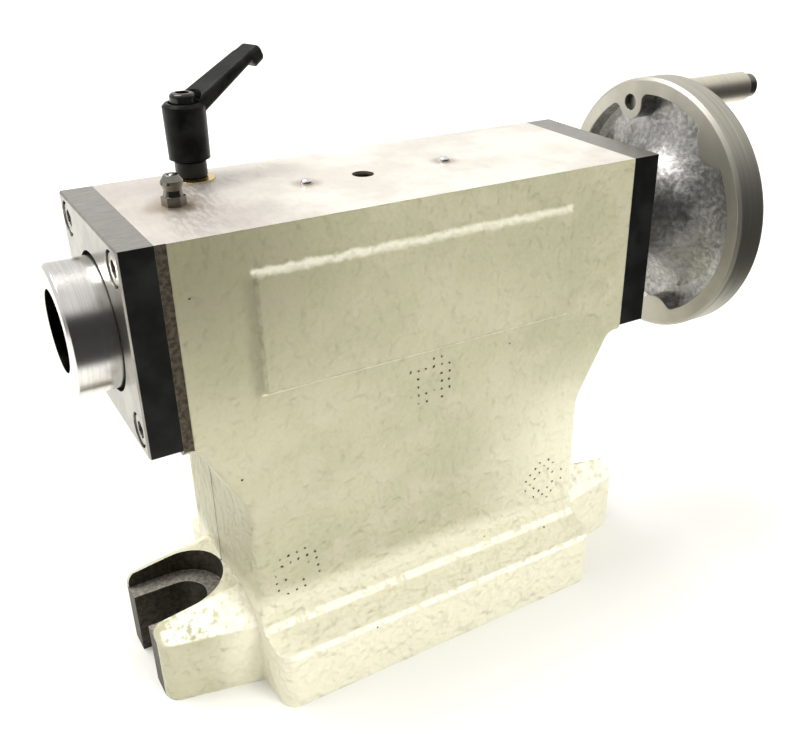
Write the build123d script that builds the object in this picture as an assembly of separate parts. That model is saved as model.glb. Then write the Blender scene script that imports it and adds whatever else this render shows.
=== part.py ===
from build123d import *
import math
import os

# Manual tailstock. Millimetres, +Z up. The origin is the centre of the base's bottom face.
# The quill lies along X, its nose points to -X and the handwheel is at +X.

# Quill axis and the head that carries it
axis_height = 127.0
head_length = 158.8
head_side = 60.0
head_paint_step = 0.3
head_lip_drop = 3.9
head_lip_length = 3.0
machined_band = 3.0
pattern_stock = 4.0
pattern_draft = 3.0
dowel_x = 24.3

# Web under the head
web_length = 129.0
web_haunch_angle = 62.0
web_haunch_radius = 12.0
head_lip_radius = 3.0
web_edge_radius = 3.0

# Base rails
base_width = 89.0
rail_front_height = 20.8
rail_root_height = 22.9
rail_corner_radius = 5.0
rail_edge_radius = 2.0
rail_crease_radius = 3.0

# Clamping ears
ears_length = 186.6
ear_end_width = 41.0
ear_root_width = 56.0
ear_side_height = 23.8
ear_end_crown = 28.0
ear_root_crown = 33.0
ear_crown_width = 29.0
ear_corner_radius = 5.0
ear_roof_radius = 4.0
ear_embed = 4.0
slot_width = 16.0
slot_centre_x = 79.2
slot_seat_width = 28.4
slot_seat_height = 23.0
key_slot_length = 20.0
key_slot_depth = 4.0

# Raised panel on the front of the head
panel_length = 109.5
panel_height = 37.6
panel_centre_z = 126.2
panel_rise = 1.2
panel_bevel = 40.0
panel_corner = 2.0

# Quill
quill_diameter = 38.1
quill_tail_gap = 9.8
quill_reach = 12.7
quill_in = 9.6
quill_out = 28.5
quill_play = 0.04
quill_edge = 0.8
taper_mouth = 23.825
taper_per_length = 0.05020
taper_depth = 81.0
taper_relief = 20.6
mouth_flare = 0.4
mouth_lead = 1.0
quill_keyway_width = 6.1
quill_keyway_depth = 3.5

# Nose plate, wiper and the screws of both plates
nose_plate_thickness = 9.5
nose_plate_hole = 40.6
nose_plate_edge = 0.5
plate_screw_offset = 23.5
plate_screw_size = 6.0
plate_screw_head = 9.6
plate_screw_head_height = 6.0
plate_screw_hex = 4.8
plate_seat_diameter = 10.4
plate_seat_depth = 6.4
plate_screw_grip = 15.0
plate_screw_gap = 1.0
plate_screw_chamfer = 0.5
plate_screw_socket = 3.3
screw_hole_play = 0.3
wiper_outside = 46.0
wiper_thickness = 4.0
wiper_play = 0.06

# Rear plate, bush and thrust bearing
rear_plate_thickness = 11.1
bush_outside = 22.0
bush_flange = 30.0
bush_flange_thickness = 2.4
thrust_outside = 32.0
thrust_washer_thickness = 1.6
thrust_cage_thickness = 2.4
cage_trim = 0.2
cage_shy = 0.5
cage_bore_play = 0.6
roller_length = 4.6
roller_count = 16

# Feed screw and its nut in the quill
feed_screw_diameter = 19.0
feed_screw_tip_x = -10.5
feed_screw_tip_chamfer = 2.0
collar_thickness = 6.0
journal_diameter = 15.875
wheel_seat_diameter = 14.0
wheel_stud_diameter = 12.0
wheel_stud_spare = 3.0
wheel_seat_shy = 0.5
stud_end_chamfer = 1.0
feed_nut_diameter = 28.0
feed_nut_length = 24.0
feed_nut_flange = 33.0
feed_nut_flange_thickness = 4.0
nut_pin_diameter = 3.0
nut_pin_bite = 2.0
nut_pin_sunk = 0.5
running_play = 0.05

# Handwheel
wheel_diameter = 94.4
wheel_rim_x = 115.3
wheel_rim_width = 13.2
wheel_rim_thickness = 6.0
wheel_floor_depth = 8.5
wheel_web = 4.6
wheel_hub_diameter = 30.0
wheel_neck_diameter = 24.0
wheel_back_boss = 30.0
wheel_boss_diameter = 12.0
wheel_lobe_diameter = 18.0
wheel_lobe_radius = 44.2
wheel_lobe_start = 75.0
wheel_lobe_count = 3
lobe_blend = 3.0
lobe_root = 2.0
wheel_hub_straight = 6.0
wheel_neck_flare = 8.0
dish_round = 0.6
dish_corner = 2.5
rim_outer_bevel = 1.2
rim_back_bevel = 2.0
rim_back_round = 0.8
rim_back_drop = 0.6
back_hollow = 5.0
boss_bevel = 1.3
wheel_key_width = 4.0
wheel_key_height = 4.0
wheel_key_length = 16.0
wheel_key_start = 8.0
wheel_washer_diameter = 24.0
wheel_washer_thickness = 2.0
wheel_nut_flats = 19.0
wheel_nut_height = 8.0
wheel_nut_crown = 1.6
wheel_nut_ring = 18.2

# Crank handle on the wheel
crank_radius = 39.0
crank_angle = 19.9
spindle_diameter = 6.4
spindle_thread = 6.0
spindle_collar = 10.0
spindle_collar_thickness = 1.5
spindle_head = 9.2
spindle_head_length = 5.4
spindle_head_round = 1.6
spindle_tip_sunk = 2.1
grip_nose = 1.2
grip_shoulder = 0.4
grip_taper_length = 6.0
grip_end_bevel = 0.7
grip_diameter = 11.5
grip_length = 43.8
grip_gap = 0.2

# Quill lock: split plugs drawn together by the clamp stud
lock_x = -51.0
plug_diameter = 12.0
plug_y = 21.8
stud_y = 24.2
stud_diameter = 5.0
plug_play = 0.03
plug_quill_gap = 0.12
plug_top_proud = 0.4
plug_split = 1.5
lower_plug_length = 20.0
stud_hole_play = 0.15
stud_tip_sunk = 1.0
lower_plug_spare = 3.5

# Clamp lever
insert_diameter = 9.5
insert_collar_height = 5.5
insert_spline_diameter = 8.0
insert_height = 12.0
insert_chamfer = 0.4
hub_bottom_diameter = 12.2
hub_top_diameter = 12.7
hub_bottom_rise = 5.9
hub_height = 16.4
hub_web_thickness = 2.0
hub_counterbore = 9.0
hub_bevel = 0.9
counterbore_wall = 0.9
lever_lift = 3.0
coupling_teeth = 8
coupling_tooth_height = 1.0
coupling_tooth_share = 0.9
coupling_play = 0.15
coupling_gap = 0.3
lever_screw_diameter = 4.0
lever_screw_head = 7.8
lever_screw_head_height = 4.8
lever_screw_hex = 4.0
lever_screw_bite = 6.0
lever_screw_round = 1.2
lever_screw_socket = 2.6
spring_wire = 0.7
spring_turns = 4
spring_gap = 0.3
spring_spare = 0.2
arm_length = 31.3
arm_swing_angle = 21.0
arm_rise_angle = 24.8
arm_top_rise = 0.4
arm_root_width = 10.2
arm_root_depth = 5.2
arm_stem_width = 8.4
arm_stem_depth = 3.2
arm_stem_end = 0.83
arm_knob_width = 8.4
arm_knob_depth = 5.6
arm_knob_start = 0.87
arm_end_depth = 5.2
arm_edge_radius = 1.4
arm_knob_radius = 2.0
arm_tip_radius = 1.5

# Grease nipple, key screw and dowel pins in the top
nipple_x = -64.4
nipple_thread = 6.0
nipple_thread_length = 6.0
nipple_flats = 6.0
nipple_turn = -17.0
nipple_hex_height = 2.6
nipple_flare = 5.6
nipple_neck = 4.9
nipple_head = 6.3
nipple_height = 8.6
nipple_neck_rise = 1.8
nipple_bulge_rise = 3.5
nipple_bulge_height = 0.8
nipple_tip = 4.0
nipple_passage = 1.4
nipple_ball = 1.8
nipple_ball_play = 0.1
nipple_ball_seat = 1.4
nipple_ball_rise = 0.58
key_screw_x = -5.2
key_screw_hole = 6.8
key_screw_length = 7.0
key_screw_dog = 5.8
key_screw_sunk = 3.6
key_screw_hex = 4.0
key_screw_socket = 3.0
key_screw_gap = 0.5
dowel_diameter = 4.0
dowel_length = 9.0
dowel_rise = 1.5
dowel_dome = 1.4

# How far a cut runs past the surface it opens
past = 1.0

# Places worked out from the sizes above
head_end = head_length / 2
head_top_z = axis_height + head_side / 2
head_bottom_z = axis_height - head_side / 2
face_y = head_side / 2 + head_paint_step
nose_face_x = -head_end - nose_plate_thickness
rear_face_x = head_end + rear_plate_thickness
quill_nose_x = nose_face_x - quill_reach
bore_radius = quill_diameter / 2 + quill_play
thrust_stack = 2 * thrust_washer_thickness + thrust_cage_thickness
collar_back_x = head_end - thrust_stack
collar_front_x = collar_back_x - collar_thickness
quill_tail_x = collar_front_x - quill_tail_gap - quill_in - feed_nut_flange_thickness
nut_pin_x = quill_tail_x - feed_nut_length / 2
bush_face_x = rear_face_x + bush_flange_thickness
wheel_hub_x = bush_face_x + running_play
wheel_back_x = wheel_rim_x + wheel_floor_depth + wheel_web + boss_bevel
crank_y = crank_radius * math.sin(math.radians(crank_angle))
crank_z = axis_height + crank_radius * math.cos(math.radians(crank_angle))
grip_x = wheel_back_x + spindle_collar_thickness + grip_gap
plug_top_z = head_top_z + plug_top_proud
lower_plug_bottom_z = axis_height - plug_split - lower_plug_length
lock_bore_bottom_z = lower_plug_bottom_z - lower_plug_spare
stud_top_z = head_top_z + insert_height
lever_web_z = stud_top_z + coupling_gap
coupling_root = insert_spline_diameter / 2 - coupling_tooth_height
coupling_depth = lever_lift + spring_spare
spring_foot_z = lever_web_z + hub_web_thickness
lever_screw_seat_z = spring_foot_z + spring_turns * spring_wire + lever_lift + spring_spare


def turned(points, x_axis_z=axis_height, y=0.0):
    """Solid of revolution about a line along X, from (x, radius) points."""
    outline = make_face(Polyline(*[(x, 0, r) for x, r in points], close=True))
    solid = revolve(outline, Axis((0, 0, 0), (1, 0, 0)), 360)
    return Pos(0, y, x_axis_z) * solid


def rod_x(radius, x0, x1, y=0.0, z=axis_height):
    """Round bar along X between two stations."""
    return Pos((x0 + x1) / 2, y, z) * Rot(0, 90, 0) * Cylinder(radius, x1 - x0)


def rod_z(radius, z0, z1, x=0.0, y=0.0):
    """Round bar along Z between two heights."""
    return Pos(x, y, (z0 + z1) / 2) * Cylinder(radius, z1 - z0)


def block(x0, x1, y0, y1, z0, z1):
    """Rectangular block between two corners."""
    size = (x1 - x0, y1 - y0, z1 - z0)
    return Pos((x0 + x1) / 2, (y0 + y1) / 2, (z0 + z1) / 2) * Box(*size)


def hex_prism_x(flats, x0, x1, y=0.0, z=axis_height):
    """Hexagonal prism along X."""
    shape = extrude(RegularPolygon(flats / 2, 6, major_radius=False), x1 - x0)
    return Pos(x0, y, z) * Rot(0, 90, 0) * shape


def hex_prism_z(flats, z0, z1, x=0.0, y=0.0):
    """Hexagonal prism along Z."""
    shape = extrude(RegularPolygon(flats / 2, 6, major_radius=False), z1 - z0)
    return Pos(x, y, z0) * shape


def plate_corners():
    """The four screw places of an end plate, as (y, z)."""
    offset = plate_screw_offset
    return [(sy * offset, axis_height + sz * offset) for sy in (-1, 1) for sz in (-1, 1)]


def head_and_web():
    """Head and web from one front outline, drafted from the parting plane y = 0."""
    stock = pattern_stock
    haunch = math.radians(web_haunch_angle)
    lip_z = head_bottom_z - head_lip_drop
    lip_x = head_end - head_lip_length
    web_x = web_length / 2
    web_z = lip_z - (lip_x - web_x) * math.tan(haunch)
    half = [(head_end + stock, head_top_z + stock), (head_end + stock, lip_z), (lip_x, lip_z),
            (web_x, web_z), (web_x, stock)]
    outline = make_face(Polyline(*(half + [(-x, z) for x, z in reversed(half)]), close=True))
    lips = [v for v in outline.vertices() if abs(abs(v.X) - lip_x) < 0.01]
    outline = fillet(lips, head_lip_radius)
    haunches = [v for v in outline.vertices() if abs(v.Y - web_z) < 0.01]
    outline = fillet(haunches, web_haunch_radius)
    front = Plane((0, 0, 0), x_dir=(1, 0, 0), z_dir=(0, -1, 0))
    body = extrude(front * outline, face_y, both=True, taper=pattern_draft)
    body &= block(-head_end, head_end, -face_y, face_y, 0, head_top_z)
    edges = [e for e in body.edges().filter_by_position(Axis.Z, past, head_bottom_z - past)
             if abs(abs((e @ 0.5).Y) - face_y) < 0.01 and abs((e @ 0).Y - (e @ 1).Y) < 0.01]
    return fillet(edges, web_edge_radius)


def base_rails():
    """Both rails: drafted ends, sloping tops and a rounded crease along the web."""
    half = base_width / 2
    root_x = web_length / 2
    front_x = root_x - half * math.tan(math.radians(pattern_draft))
    plan_points = [(front_x, -half), (root_x, 0), (front_x, half), (-front_x, half),
                   (-root_x, 0), (-front_x, -half)]
    plan_shape = make_face(Polyline(*plan_points, close=True))
    corners = [v for v in plan_shape.vertices() if abs(abs(v.Y) - half) < 0.01]
    plan_shape = fillet(corners, rail_corner_radius)
    top = rail_root_height + 2 * rail_crease_radius
    points = [(-half, 0), (half, 0), (half, rail_front_height), (face_y, rail_root_height),
              (face_y, top), (-face_y, top), (-face_y, rail_root_height), (-half, rail_front_height)]
    section = make_face(Polyline(*points, close=True))
    creases = [v for v in section.vertices() if abs(v.Y - rail_root_height) < 0.01]
    section = fillet(creases, rail_crease_radius)
    edges = [v for v in section.vertices() if abs(v.Y - rail_front_height) < 0.01
             and abs(abs(v.X) - half) < 0.01]
    section = fillet(edges, rail_edge_radius)
    side = Plane((-root_x, 0, 0), x_dir=(0, 1, 0), z_dir=(1, 0, 0))
    return extrude(side * section, web_length) & extrude(plan_shape, top)


def ear(sign):
    """One clamping ear: flared sides, roof that rises to the web, rounded end corners."""
    def section(x, width, crown):
        w = width / 2
        c = ear_crown_width / 2
        points = [(x, -w, 0), (x, w, 0), (x, w, ear_side_height), (x, c, crown),
                  (x, -c, crown), (x, -w, ear_side_height)]
        return make_face(Polyline(*points, close=True))

    end_x = sign * ears_length / 2
    root_x = sign * (web_length / 2 - ear_embed)
    body = loft([section(root_x, ear_root_width, ear_root_crown),
                 section(end_x, ear_end_width, ear_end_crown)], ruled=True)
    corners = [e for e in body.edges() if abs(e.center().X - end_x) < 0.01
               and abs(abs(e.center().Y) - ear_end_width / 2) < 0.01]
    body = fillet(corners, ear_corner_radius)
    roof = [e for e in body.edges() if e.center().Z > ear_side_height - 0.01
            and e.bounding_box().size.X > ear_corner_radius * 2]
    return fillet(roof, ear_roof_radius)


def ear_slot(sign):
    """Cut for one clamping slot, open to the end, with its wider seat above."""
    x = sign * slot_centre_x
    out = sign * (ears_length / 2 + past)
    low, high = min(x, out), max(x, out)
    seat_top = ear_root_crown + past
    slot = rod_z(slot_width / 2, -past, seat_top, x=x)
    slot += block(low, high, -slot_width / 2, slot_width / 2, -past, seat_top)
    seat = rod_z(slot_seat_width / 2, slot_seat_height, seat_top, x=x)
    half = slot_seat_width / 2
    seat += block(low, high, -half, half, slot_seat_height, seat_top)
    return slot + seat


def key_slot(sign):
    """Short locating groove under the base, beside each clamping slot."""
    inner = slot_centre_x - slot_width / 2 - key_slot_length
    x0, x1 = sorted((sign * inner, sign * slot_centre_x))
    return block(x0, x1, -slot_width / 2, slot_width / 2, -past, key_slot_depth)


def front_panel():
    """Raised bare panel with bevelled edges."""
    outline = fillet(Rectangle(panel_length, panel_height).vertices(), panel_corner)
    front = Plane((0, -face_y, panel_centre_z), x_dir=(1, 0, 0), z_dir=(0, -1, 0))
    return extrude(front * outline, panel_rise, taper=panel_bevel)


def lock_bore():
    """Bore for the split lock plugs, beside the quill."""
    return rod_z(plug_diameter / 2 + plug_play, lock_bore_bottom_z, head_top_z + past, lock_x, plug_y)


def nose_band(sign):
    """Skim that leaves a bare machined band beside the nose plate."""
    y0, y1 = sorted((sign * head_side / 2, sign * (face_y + past)))
    low = head_bottom_z - head_lip_drop - past
    return block(-head_end - past, -head_end + machined_band, y0, y1, low, head_top_z + past)


def make_body_casting():
    body = head_and_web() + base_rails() + ear(-1) + ear(1)
    body += front_panel()
    for sign in (-1, 1):
        body -= ear_slot(sign)
        body -= key_slot(sign)
        body -= nose_band(sign)
    body -= rod_x(bore_radius, -head_end - past, head_end + past)
    body -= lock_bore()
    top_holes = [(nipple_x, nipple_thread / 2), (key_screw_x, key_screw_hole / 2)]
    for x, radius in top_holes:
        body -= rod_z(radius, axis_height, head_top_z + past, x)
    for sign in (-1, 1):
        body -= rod_z(dowel_diameter / 2, head_top_z - dowel_length, head_top_z + past, sign * dowel_x)
    for y, z in plate_corners():
        radius = plate_screw_size / 2
        body -= rod_x(radius, -head_end - past, -head_end + plate_screw_grip, y, z)
        body -= rod_x(radius, head_end - plate_screw_grip, head_end + past, y, z)
    return body


def make_nose_plate():
    plate = block(nose_face_x, -head_end, -head_side / 2, head_side / 2, head_bottom_z, head_top_z)
    plate = chamfer(plate.faces().sort_by(Axis.X)[0].edges(), nose_plate_edge)
    plate -= rod_x(nose_plate_hole / 2, nose_face_x - past, -head_end + past)
    plate -= rod_x(wiper_outside / 2, -head_end - wiper_thickness, -head_end + past)
    for y, z in plate_corners():
        plate -= rod_x(plate_screw_size / 2 + screw_hole_play, nose_face_x - past, -head_end + past, y, z)
        plate -= rod_x(plate_seat_diameter / 2, nose_face_x - past, nose_face_x + plate_seat_depth, y, z)
    return plate


def make_wiper():
    ring = rod_x(wiper_outside / 2, -head_end - wiper_thickness, -head_end)
    return ring - rod_x(quill_diameter / 2 + wiper_play, nose_face_x, -head_end + past)


def cap_screw(face_x, inward, y, z):
    """Socket head cap screw in a plate; inward is +1 or -1 along X."""
    seat = face_x + inward * plate_seat_depth
    top = seat - inward * plate_screw_head_height
    tip = inward * (-head_end + plate_screw_grip - plate_screw_gap)
    x0, x1 = sorted((seat, top))
    head = rod_x(plate_screw_head / 2, x0, x1, y, z)
    crown = head.faces().sort_by(Axis.X)[0 if inward > 0 else -1].edges()
    head = chamfer(crown, plate_screw_chamfer)
    x0, x1 = sorted((seat, tip))
    shank = rod_x(plate_screw_size / 2, x0, x1, y, z)
    x0, x1 = sorted((top - inward * past, top + inward * plate_screw_socket))
    return head + shank - hex_prism_x(plate_screw_hex, x0, x1, y, z)


def make_plate_screws(face_x, inward):
    return Compound(children=[cap_screw(face_x, inward, y, z) for y, z in plate_corners()])


def make_rear_plate():
    plate = block(head_end, rear_face_x, -head_side / 2, head_side / 2, head_bottom_z, head_top_z)
    plate = chamfer(plate.faces().sort_by(Axis.X)[-1].edges(), nose_plate_edge)
    plate -= rod_x(bush_outside / 2, head_end - past, rear_face_x + past)
    for y, z in plate_corners():
        plate -= rod_x(plate_screw_size / 2 + screw_hole_play, head_end - past, rear_face_x + past, y, z)
        plate -= rod_x(plate_seat_diameter / 2, rear_face_x - plate_seat_depth, rear_face_x + past, y, z)
    return plate


def make_rear_bush():
    bush = rod_x(bush_outside / 2, head_end, rear_face_x)
    bush += rod_x(bush_flange / 2, rear_face_x, bush_face_x)
    return bush - rod_x(journal_diameter / 2 + running_play, head_end - past, bush_face_x + past)


def thrust_washer(x0):
    x1 = x0 + thrust_washer_thickness
    washer = rod_x(thrust_outside / 2, x0, x1)
    return washer - rod_x(journal_diameter / 2 + running_play, x0 - past, x1 + past)


def make_thrust_washers():
    front = thrust_washer(collar_back_x)
    back = thrust_washer(head_end - thrust_washer_thickness)
    return Compound(children=[front, back])


def make_thrust_bearing():
    """Needle cage between the washers, with its rollers standing in the pockets."""
    x0 = collar_back_x + thrust_washer_thickness
    x1 = x0 + thrust_cage_thickness
    inside = journal_diameter / 2 + cage_bore_play
    outside = thrust_outside / 2 - cage_shy
    cage = rod_x(outside, x0 + cage_trim, x1 - cage_trim)
    cage -= rod_x(inside, x0 - past, x1 + past)
    roller_radius = thrust_cage_thickness / 2
    pin = Pos((x0 + x1) / 2, 0, (inside + outside) / 2) * Cylinder(roller_radius, roller_length)
    for i in range(roller_count):
        cage += Pos(0, 0, axis_height) * Rot(360 * i / roller_count, 0, 0) * pin
    return cage


def make_quill():
    """Sliding barrel: tapered socket in the nose, nut seat in the tail, keyway on top."""
    edge = quill_edge
    radius = quill_diameter / 2
    barrel = turned([(quill_nose_x, 0), (quill_nose_x, radius - edge), (quill_nose_x + edge, radius),
                     (quill_tail_x - edge, radius), (quill_tail_x, radius - edge), (quill_tail_x, 0)])
    small = (taper_mouth - taper_depth * taper_per_length) / 2
    mouth = taper_mouth / 2
    taper_end = quill_nose_x + taper_depth
    cut = turned([(quill_nose_x - past, 0), (quill_nose_x - past, mouth + mouth_flare + mouth_lead),
                  (quill_nose_x, mouth + mouth_flare), (quill_nose_x + mouth_flare, mouth),
                  (taper_end, small), (taper_end, taper_relief / 2),
                  (quill_tail_x + past, taper_relief / 2), (quill_tail_x + past, 0)])
    barrel -= cut
    barrel -= rod_x(feed_nut_diameter / 2, quill_tail_x - feed_nut_length, quill_tail_x + past)
    key_front = key_screw_x - quill_in - quill_keyway_width
    key_back = key_screw_x + quill_out + quill_keyway_width
    half = quill_keyway_width / 2
    floor = axis_height + radius - quill_keyway_depth
    barrel -= block(key_front, key_back, -half, half, floor, axis_height + radius + past)
    return barrel - rod_z(nut_pin_diameter / 2, axis_height, axis_height + radius + past, nut_pin_x)


def make_feed_nut():
    """Bronze nut pushed into the quill's tail and pinned there."""
    x0 = quill_tail_x - feed_nut_length
    nut = rod_x(feed_nut_diameter / 2, x0, quill_tail_x)
    nut += rod_x(feed_nut_flange / 2, quill_tail_x, quill_tail_x + feed_nut_flange_thickness)
    back = quill_tail_x + feed_nut_flange_thickness + past
    nut -= rod_x(feed_screw_diameter / 2 + running_play, x0 - past, back)
    top = axis_height + feed_nut_diameter / 2
    return nut - rod_z(nut_pin_diameter / 2, top - nut_pin_bite, top + past, nut_pin_x)


def make_nut_pin():
    bottom = axis_height + feed_nut_diameter / 2 - nut_pin_bite
    top = axis_height + quill_diameter / 2 - nut_pin_sunk
    return rod_z(nut_pin_diameter / 2, bottom, top, nut_pin_x)


def make_feed_screw():
    """Screw with thrust collar, journal, wheel seat and threaded end."""
    c = feed_screw_tip_chamfer
    radius = feed_screw_diameter / 2
    shoulder_x = wheel_back_x - wheel_seat_shy
    end_x = wheel_back_x + wheel_washer_thickness + wheel_nut_height + wheel_stud_spare
    stud_radius = wheel_stud_diameter / 2
    screw = turned([(feed_screw_tip_x, 0), (feed_screw_tip_x, radius - c), (feed_screw_tip_x + c, radius),
                    (collar_front_x, radius), (collar_front_x, thrust_outside / 2),
                    (collar_back_x, thrust_outside / 2), (collar_back_x, journal_diameter / 2),
                    (wheel_hub_x, journal_diameter / 2), (wheel_hub_x, wheel_seat_diameter / 2),
                    (shoulder_x, wheel_seat_diameter / 2), (shoulder_x, stud_radius),
                    (end_x - stud_end_chamfer, stud_radius), (end_x, stud_radius - stud_end_chamfer),
                    (end_x, 0)])
    return screw - make_wheel_key()


def make_wheel_key(extra=0.0):
    """Key between the feed screw and the wheel's hub; extra lengthens its slot."""
    x0 = wheel_hub_x + wheel_key_start
    z0 = axis_height + wheel_seat_diameter / 2 - wheel_key_height / 2
    half = wheel_key_width / 2
    return block(x0, x0 + wheel_key_length + extra, -half, half, z0, z0 + wheel_key_height)


def on_wheel(angle, radius):
    """Place on the wheel's face as (y, z), with the angle from the top towards +Y."""
    a = math.radians(angle)
    return radius * math.sin(a), radius * math.cos(a)


def wheel_lobes(inner, x0, x1):
    """Bosses that grow inwards from the rim, flush with its near face."""
    lobes = Pos(*on_wheel(crank_angle, crank_radius)) * Circle(wheel_boss_diameter / 2)
    for i in range(wheel_lobe_count):
        angle = wheel_lobe_start + 360 * i / wheel_lobe_count
        lobes += Pos(*on_wheel(angle, wheel_lobe_radius)) * Circle(wheel_lobe_diameter / 2)
    band = Circle(inner + lobe_root) - Circle(inner)
    sketch = band + (lobes & Circle(inner + lobe_root))
    corners = [v for v in sketch.vertices() if abs(math.hypot(v.X, v.Y) - inner) < 0.01]
    sketch = fillet(corners, lobe_blend)
    face = Plane((x0, 0, axis_height), x_dir=(0, 1, 0), z_dir=(1, 0, 0))
    return extrude(face * sketch, x1 - x0)


def make_handwheel():
    """Dished wheel: rim towards the operator's back, hub neck towards the rear plate."""
    radius = wheel_diameter / 2
    inner = radius - wheel_rim_thickness
    rim = wheel_rim_x
    far = rim + wheel_rim_width
    floor = rim + wheel_floor_depth
    back = floor + wheel_web
    hub = wheel_hub_diameter / 2
    neck = wheel_neck_diameter / 2
    bore = wheel_seat_diameter / 2
    neck_x = wheel_hub_x + wheel_hub_straight
    edge = inner - wheel_neck_flare
    line = Polyline((wheel_hub_x, 0, bore), (wheel_hub_x, 0, hub), (neck_x, 0, hub))
    flank = Spline((neck_x, 0, hub), (floor - back_hollow, 0, neck + wheel_neck_flare), (floor, 0, edge),
                   tangents=[(1, 0, 0.05), (0.1, 0, 1)])
    boss = wheel_back_boss / 2
    dish = Polyline((floor, 0, edge), (floor - dish_round, 0, inner - dish_corner),
                    (floor - dish_corner - dish_round, 0, inner - dish_round),
                    (rim, 0, inner),
                    (rim, 0, radius - rim_outer_bevel), (rim + rim_outer_bevel, 0, radius),
                    (far - rim_back_bevel, 0, radius), (far - rim_back_round, 0, radius - rim_back_drop),
                    (far, 0, radius - rim_back_bevel), (far, 0, inner - rim_outer_bevel),
                    (back, 0, inner - back_hollow), (back, 0, boss),
                    (wheel_back_x, 0, boss - boss_bevel), (wheel_back_x, 0, bore),
                    (wheel_hub_x, 0, bore))
    section = make_face(Wire([*line.edges(), *flank.edges(), *dish.edges()]))
    wheel = Pos(0, 0, axis_height) * revolve(section, Axis((0, 0, 0), (1, 0, 0)), 360)
    wheel += wheel_lobes(inner, rim, floor + past)
    wheel += rod_x(wheel_boss_diameter / 2, floor + past, wheel_back_x, crank_y, crank_z)
    wheel -= rod_x(spindle_thread / 2, wheel_rim_x - past, wheel_back_x + past, crank_y, crank_z)
    return wheel - make_wheel_key(wheel_back_x - wheel_hub_x)


def make_wheel_washer():
    x1 = wheel_back_x + wheel_washer_thickness
    washer = rod_x(wheel_washer_diameter / 2, wheel_back_x, x1)
    return washer - rod_x(wheel_stud_diameter / 2, wheel_back_x - past, x1 + past)


def make_wheel_nut():
    x0 = wheel_back_x + wheel_washer_thickness
    x1 = x0 + wheel_nut_height
    corner = wheel_nut_flats / math.sqrt(3)
    nut = hex_prism_x(wheel_nut_flats, x0, x1)
    crown = turned([(x0, 0), (x0, corner + past), (x1 - wheel_nut_crown, corner + past),
                    (x1, wheel_nut_ring / 2), (x1, 0)])
    return (nut & crown) - rod_x(wheel_stud_diameter / 2, x0 - past, x1 + past)


def make_handle_spindle():
    """Shoulder stud screwed through the wheel's boss, with a head that keeps the grip."""
    collar = wheel_back_x + spindle_collar_thickness
    head = grip_x + grip_length + grip_gap
    end = head + spindle_head_length
    r = spindle_head / 2
    tip = wheel_rim_x + spindle_tip_sunk
    bevel = spindle_head_round
    return turned([(tip, 0), (tip, spindle_thread / 2),
                   (wheel_back_x, spindle_thread / 2), (wheel_back_x, spindle_collar / 2),
                   (collar, spindle_collar / 2), (collar, spindle_diameter / 2),
                   (head, spindle_diameter / 2), (head, r), (end - bevel, r),
                   (end - bevel / 4, r - bevel * 0.6), (end, r - bevel * 1.4), (end, 0)],
                  crank_z, crank_y)


def make_handle_grip():
    x1 = grip_x + grip_length
    r = grip_diameter / 2
    grip = turned([(grip_x, 0), (grip_x, r - grip_nose), (grip_x + grip_nose, r - grip_shoulder),
                   (grip_x + grip_taper_length, r), (x1 - grip_end_bevel, r),
                   (x1, r - grip_end_bevel), (x1, 0)], crank_z, crank_y)
    bore = spindle_diameter / 2 + running_play
    return grip - rod_x(bore, grip_x - past, x1 + past, crank_y, crank_z)


def make_lock_plugs():
    """Upper and lower split plugs, hollowed where they grip the quill."""
    radius = plug_diameter / 2
    clear = rod_x(quill_diameter / 2 + plug_quill_gap, lock_x - plug_diameter, lock_x + plug_diameter)
    upper = rod_z(radius, axis_height + plug_split, plug_top_z, lock_x, plug_y)
    upper -= clear
    upper -= rod_z(stud_diameter / 2 + stud_hole_play, axis_height, plug_top_z + past, lock_x, stud_y)
    lower_top = axis_height - plug_split
    lower = rod_z(radius, lower_plug_bottom_z, lower_top, lock_x, plug_y)
    lower -= clear
    bottom = lower_plug_bottom_z - past
    lower -= rod_z(stud_diameter / 2 + running_play, bottom, lower_top + past, lock_x, stud_y)
    return upper, lower


def coupling_ring(z0, z1, grow):
    """Toothed ring of the lever's coupling; grow opens it out for the socket."""
    outer = insert_spline_diameter / 2
    ring = rod_z(coupling_root + grow, z0, z1, lock_x, stud_y)
    half = math.pi * outer / coupling_teeth * coupling_tooth_share / 2 + grow
    tooth = block(0, outer + grow, -half, half, z0, z1)
    for i in range(coupling_teeth):
        ring += Pos(lock_x, stud_y, 0) * Rot(0, 0, 360 * i / coupling_teeth) * tooth
    return ring


def make_clamp_stud():
    """Steel insert of the lever: collar, toothed top and threaded stud below."""
    collar_top = head_top_z + insert_collar_height
    tip = lower_plug_bottom_z + stud_tip_sunk
    stud = rod_z(insert_diameter / 2, plug_top_z, collar_top, lock_x, stud_y)
    stud = chamfer(stud.edges().filter_by(GeomType.CIRCLE), insert_chamfer)
    stud += rod_z(coupling_root, collar_top, stud_top_z, lock_x, stud_y)
    stud += coupling_ring(stud_top_z - lever_lift + insert_chamfer, stud_top_z, 0.0)
    stud += rod_z(stud_diameter / 2, tip, plug_top_z, lock_x, stud_y)
    hole_floor = stud_top_z - lever_screw_bite - past
    return stud - rod_z(lever_screw_diameter / 2, hole_floor, stud_top_z + past, lock_x, stud_y)


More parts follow.
